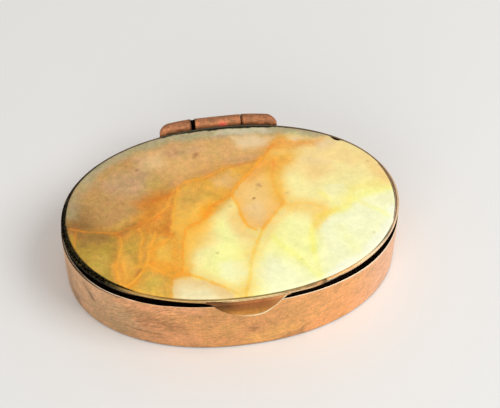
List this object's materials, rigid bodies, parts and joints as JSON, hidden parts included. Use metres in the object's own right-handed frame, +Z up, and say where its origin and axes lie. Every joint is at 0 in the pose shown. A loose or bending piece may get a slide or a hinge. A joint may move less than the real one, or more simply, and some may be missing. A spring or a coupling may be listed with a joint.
{
  "type": "patch box",
  "caption": "Oval metal patch box with a hinged lid that holds a polished veined stone panel, a thumb lip at the front and a mirror under the lid.",
  "frame": {"origin": "centre of the base's underside, on the surface that the box stands on", "axes": "+X along the oval's length, to the right seen from the thumb lip; +Y towards the hinge; +Z up"},
  "size_m": [0.054, 0.0393, 0.0129],
  "materials": {
    "copper_gilt": "worn copper-coloured sheet, brushed and lightly tarnished",
    "bezel_gilt": "thin worn strip with a bright edge",
    "veined_stone": "polished, cream to olive yellow with orange veins",
    "cement": "dull setting cement",
    "mirror": "silvered glass"
  },
  "bodies": {
    "box": {"side_wall": "copper_gilt", "base_plate": "copper_gilt", "hinge_bearer": "copper_gilt", "hinge_knuckle_left": "copper_gilt", "hinge_knuckle_right": "copper_gilt", "hinge_pin": "copper_gilt"},
    "lid": {"lid_bezel": "bezel_gilt", "stone_panel": "veined_stone", "cement_bed": "cement", "lid_plate": "copper_gilt", "mirror_frame": "bezel_gilt", "mirror_glass": "mirror", "thumb_lip": "copper_gilt", "lid_hinge_leaf": "copper_gilt", "hinge_knuckle_centre": "copper_gilt"}
  },
  "joints": [
    {"name": "lid_hinge", "type": "hinge", "parent": "box", "child": "lid", "pos_m": [0, 0.01915, 0.01165], "axis": [-1, 0, 0], "range_deg": [0, 105]}
  ]
}
